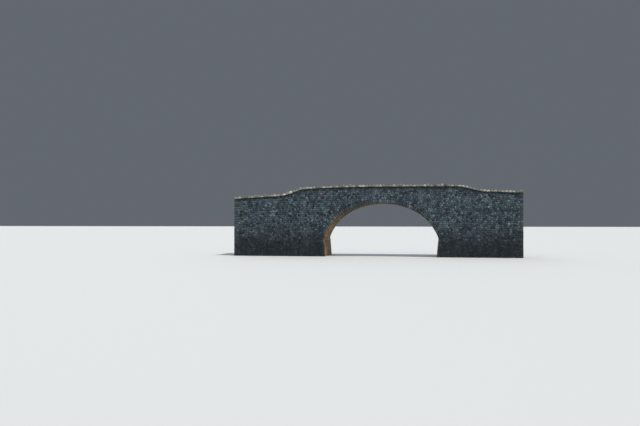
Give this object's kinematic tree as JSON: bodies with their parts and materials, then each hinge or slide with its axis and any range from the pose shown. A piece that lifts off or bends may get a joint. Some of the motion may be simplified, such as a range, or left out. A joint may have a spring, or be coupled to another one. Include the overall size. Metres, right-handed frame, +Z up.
{
  "type": "stone arch bridge",
  "caption": "Single-span rubble stone arch bridge with swept parapets, rough coping stones and walled approaches.",
  "frame": {"origin": "centre of the bridge's plan, at the lowest level where its walls meet ground or water", "axes": "+X along the bridge towards its higher approach, -Y towards the face seen in the picture, +Z up"},
  "size_m": [35.9998, 5.5706, 9.0659],
  "materials": {
    "face_stone": "random rubble fieldstone, blue-grey with dark and pale stones, recessed mortar",
    "ring_stone": "rough-dressed ring stones set on edge, blue-grey",
    "soffit_stone": "brown and tan rubble of the arch's underside, lightly stained",
    "coping_stone": "rough weathered coping stones, pale grey with lichen",
    "road_gravel": "compacted gravel, worn paler along the middle",
    "earth_fill": "packed earth and rubble, hidden inside"
  },
  "bodies": {
    "root": {"abutment_left": "face_stone", "abutment_right": "face_stone", "springer_left": "face_stone", "springer_right": "face_stone", "vault_left": "soffit_stone", "vault_crown": "soffit_stone", "vault_right": "soffit_stone", "arch_ring_front": "ring_stone", "arch_ring_back": "ring_stone", "spandrel_front_left": "face_stone", "spandrel_front_right": "face_stone", "spandrel_back_left": "face_stone", "spandrel_back_right": "face_stone", "approach_wall_front_left": "face_stone", "approach_wall_front_right": "face_stone", "approach_wall_back_left": "face_stone", "approach_wall_back_right": "face_stone", "end_wall_left": "face_stone", "end_wall_right": "face_stone", "fill_left_approach": "earth_fill", "fill_left": "earth_fill", "fill_right": "earth_fill", "fill_right_approach": "earth_fill", "deck_left": "road_gravel", "deck_centre": "road_gravel", "deck_right": "road_gravel", "parapet_front_left": "face_stone", "parapet_front_centre": "face_stone", "parapet_front_right": "face_stone", "parapet_back_left": "face_stone", "parapet_back_centre": "face_stone", "parapet_back_right": "face_stone", "coping_front_left": "coping_stone", "coping_front_centre": "coping_stone", "coping_front_right": "coping_stone", "coping_back_left": "coping_stone", "coping_back_centre": "coping_stone", "coping_back_right": "coping_stone"}
  },
  "joints": []
}
